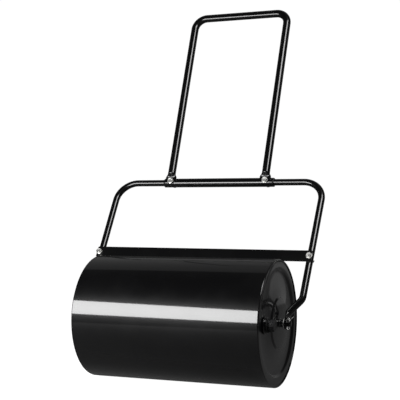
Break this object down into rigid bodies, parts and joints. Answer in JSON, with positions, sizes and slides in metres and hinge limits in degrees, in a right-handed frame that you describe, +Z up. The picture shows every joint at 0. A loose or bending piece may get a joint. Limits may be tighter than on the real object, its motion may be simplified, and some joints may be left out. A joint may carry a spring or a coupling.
{
  "type": "lawn roller",
  "caption": "Lawn roller: a water-filled steel drum spinning on a through axle, with bent side tubes, a cross bar, a sleeve and a push handle.",
  "frame": {"origin": "on the ground under the middle of the drum, at the centre of its lowest flat", "axes": "+Z up, +X along the drum towards the filler end, +Y to the back, the way the handle leans"},
  "size_m": [0.6264, 0.5912, 1.0245],
  "materials": {
    "drum_paint": "gloss black enamel",
    "plate_paint": "semi-gloss black enamel",
    "tube_paint": "gloss black powder coat",
    "bar_paint": "semi-gloss black powder coat",
    "zinc_steel": "bright zinc plate",
    "seal_rubber": "matt",
    "plug_plastic": "fine grained"
  },
  "bodies": {
    "frame": {"axle": "zinc_steel", "sleeve_tube": "tube_paint", "handle_tube": "tube_paint", "scraper_bar": "bar_paint", "side_tube_left": "tube_paint", "inner_washer_left": "zinc_steel", "outer_washer_left": "zinc_steel", "split_pin_left": "zinc_steel", "handle_left_bolt": "zinc_steel", "handle_left_washer": "zinc_steel", "handle_left_nut": "zinc_steel", "bar_left_bolt": "zinc_steel", "bar_left_washer": "zinc_steel", "bar_left_nut": "zinc_steel", "side_tube_right": "tube_paint", "inner_washer_right": "zinc_steel", "outer_washer_right": "zinc_steel", "split_pin_right": "zinc_steel", "handle_right_bolt": "zinc_steel", "handle_right_washer": "zinc_steel", "handle_right_nut": "zinc_steel", "bar_right_bolt": "zinc_steel", "bar_right_washer": "zinc_steel", "bar_right_nut": "zinc_steel"},
    "drum": {"drum_shell": "drum_paint", "end_plate_left": "plate_paint", "end_plate_right": "plate_paint", "axle_tube": "drum_paint", "filler_neck": "plate_paint"},
    "filler_seal_ring": {"filler_seal": "seal_rubber"},
    "filler_plug_body": {"filler_plug": "plug_plastic"}
  },
  "joints": [
    {"name": "drum_spin", "type": "hinge", "parent": "frame", "child": "drum", "pos_m": [0, 0, 0.15966], "axis": [1, 0, 0], "continuous": true},
    {"name": "filler_plug_slide", "type": "slide", "parent": "drum", "child": "filler_seal_ring", "axis": [1, 0, 0], "range_m": [0, 0.015]},
    {"name": "filler_plug_turn", "type": "hinge", "parent": "filler_seal_ring", "child": "filler_plug_body", "pos_m": [0.26, -0.09487, 0.16463], "axis": [1, 0, 0], "range_deg": [0, 1801]}
  ],
  "couplings": [
    {"joint": "filler_plug_turn", "follows": "filler_plug_slide", "rad_per_m": 2094.4}
  ]
}
